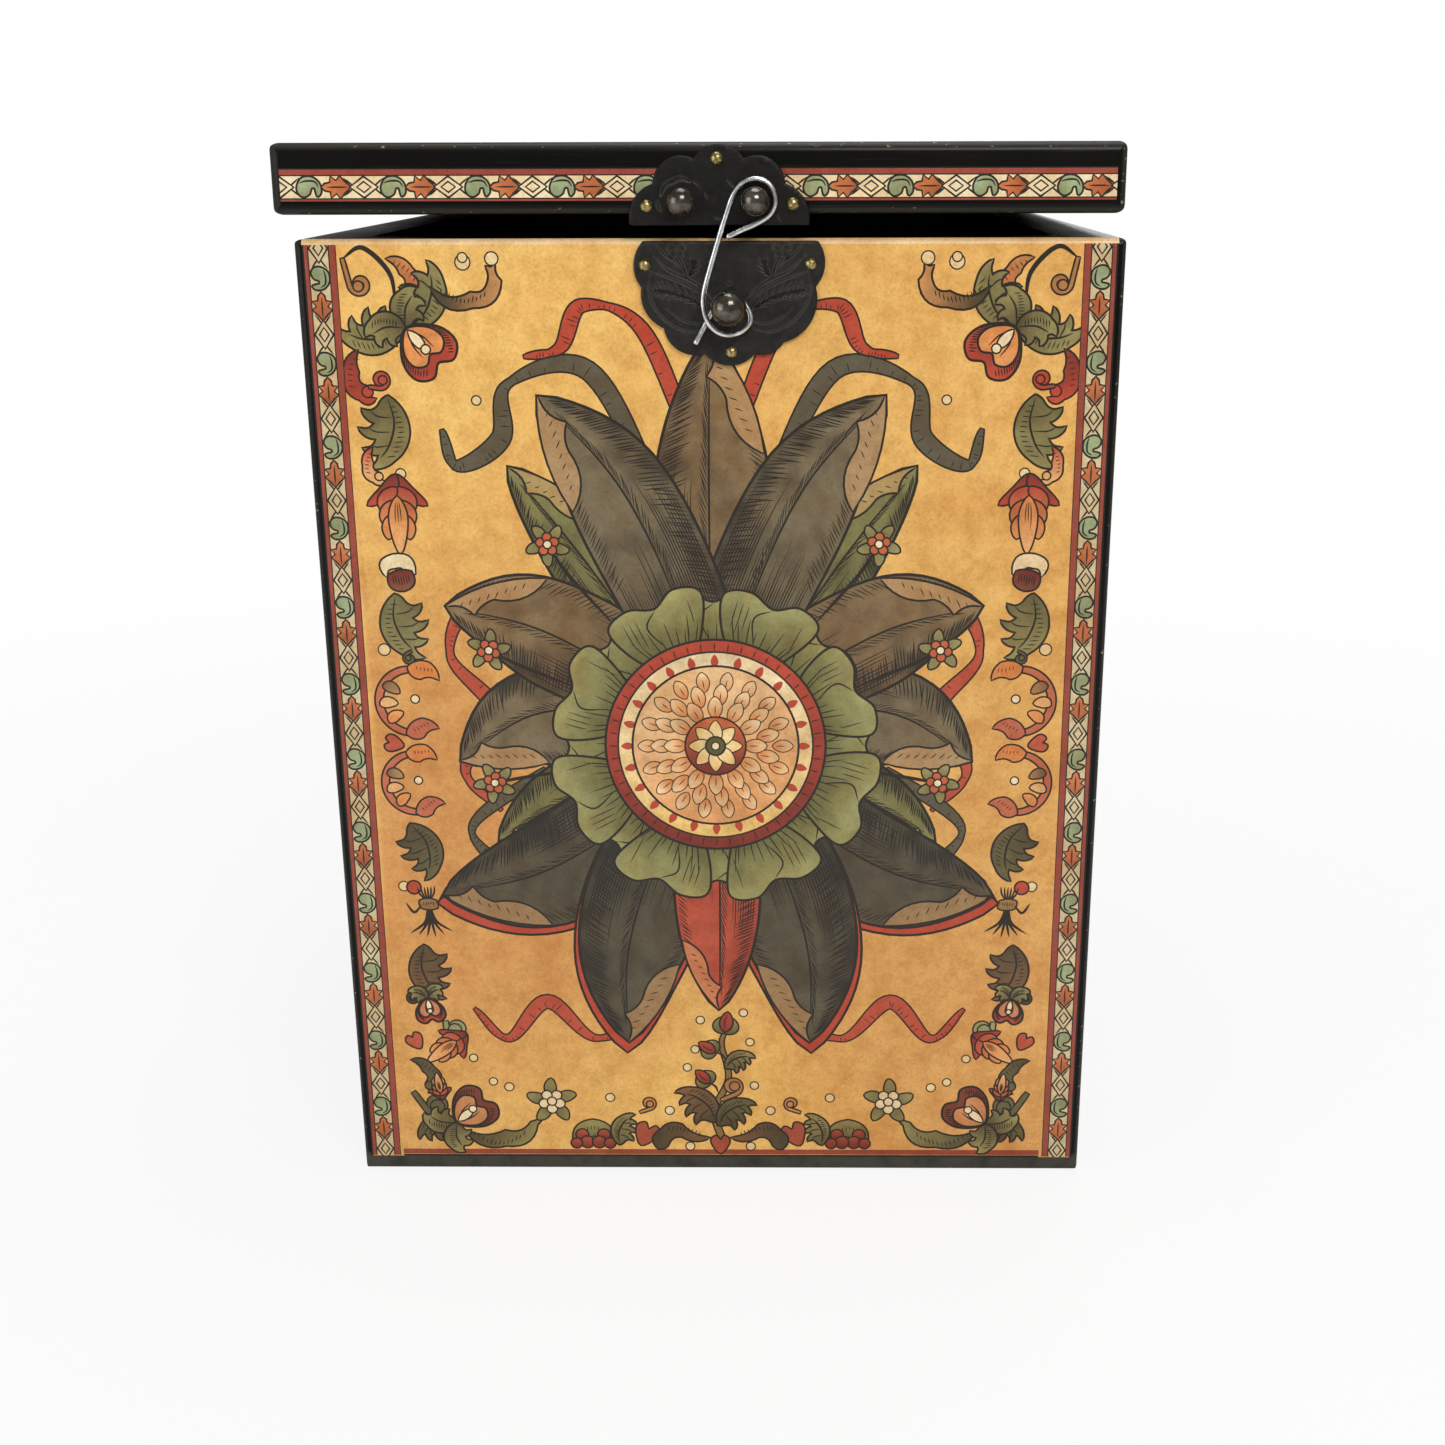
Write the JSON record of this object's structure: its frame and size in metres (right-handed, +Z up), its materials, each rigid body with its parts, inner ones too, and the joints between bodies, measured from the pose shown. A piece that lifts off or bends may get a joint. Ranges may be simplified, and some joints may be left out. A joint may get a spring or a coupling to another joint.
{
  "type": "jack-in-the-box",
  "caption": "Black wooden box with a printed front, a hinged lid held by a wire latch on ball knobs, and a jester on a coil spring inside.",
  "frame": {"origin": "centre of the box's underside, on the surface it stands on", "axes": "+Z up, -Y towards the viewer (the printed front), +X to the viewer's right"},
  "size_m": [0.1835, 0.1988, 0.2479],
  "materials": {
    "black_lacquer": "black lacquer, rubbed and worn at the edges",
    "bare_board": "bare softwood, aged",
    "front_print": "colour print under old varnish",
    "band_print": "colour print under old varnish",
    "blued_iron": "dark patinated sheet iron, engraved",
    "bronzed_knob": "dark bronzed, polished by use",
    "nail_brass": "dull brass",
    "hinge_brass": "aged brass",
    "turned_wood": "bare turned beech",
    "steel_fixings": "bright wire and screws",
    "spring_steel": "oiled spring steel",
    "galvanised_wire": "bright galvanised wire",
    "gown_cloth": "charcoal cotton",
    "painted_flesh": "painted turned wood, satin",
    "painted_nose": "painted turned wood, satin",
    "dark_felt": "charcoal felt",
    "olive_felt": "olive felt",
    "red_felt": "red felt",
    "bell_brass": "dull brass",
    "sage_cloth": "sage-green cotton"
  },
  "bodies": {
    "box": {"front_panel": "black_lacquer", "back_panel": "black_lacquer", "left_panel": "black_lacquer", "right_panel": "black_lacquer", "bottom_board": "bare_board", "front_paper": "front_print", "box_lock_plate": "blued_iron", "box_plate_nails": "nail_brass", "box_knob": "bronzed_knob", "hinge_box_leaf_left": "hinge_brass", "hinge_box_leaf_right": "hinge_brass", "hinge_pin_left": "hinge_brass", "hinge_pin_right": "hinge_brass", "hinge_box_screws": "hinge_brass", "spring_seat": "turned_wood", "seat_screws": "steel_fixings", "main_spring": "spring_steel", "seat_staples": "steel_fixings", "gown": "gown_cloth"},
    "lid": {"lid_board": "black_lacquer", "lid_paper_band": "band_print", "lid_lock_plate": "blued_iron", "lid_plate_nails": "nail_brass", "lid_knob_left": "bronzed_knob", "lid_knob_right": "bronzed_knob", "hinge_lid_leaf_left": "hinge_brass", "hinge_lid_leaf_right": "hinge_brass", "hinge_lid_screws": "hinge_brass"},
    "latch_wire": {"latch_wire": "galvanised_wire"},
    "jack": {"neck_plug": "turned_wood", "neck_screw": "steel_fixings", "plug_staples": "steel_fixings", "head": "painted_flesh", "nose": "painted_nose", "hood": "dark_felt", "hood_band": "red_felt", "horn_left": "dark_felt", "horn_right": "olive_felt", "horn_back": "dark_felt", "bells": "bell_brass", "collar_ruff": "sage_cloth", "sleeve_left": "gown_cloth", "sleeve_right": "gown_cloth", "cuff_left": "sage_cloth", "cuff_right": "sage_cloth", "hand_left": "painted_flesh", "hand_right": "painted_flesh"}
  },
  "joints": [
    {"name": "lid_hinge", "type": "hinge", "parent": "box", "child": "lid", "pos_m": [0, 0.091, 0.2282], "axis": [-1, 0, 0], "range_deg": [0, 100]},
    {"name": "jack_rise", "type": "slide", "parent": "box", "child": "jack", "axis": [0, 0, 1], "range_m": [0, 0.1484], "deforming": ["main_spring", "gown"]},
    {"name": "latch_release", "type": "hinge", "parent": "box", "child": "latch_wire", "pos_m": [0.0043, -0.0931, 0.2099], "axis": [1, 0, 0], "range_deg": [0, 18]}
  ],
  "couplings": [
    {"joint": "jack_rise", "follows": "lid_hinge", "m_per_rad": 0.085}
  ]
}
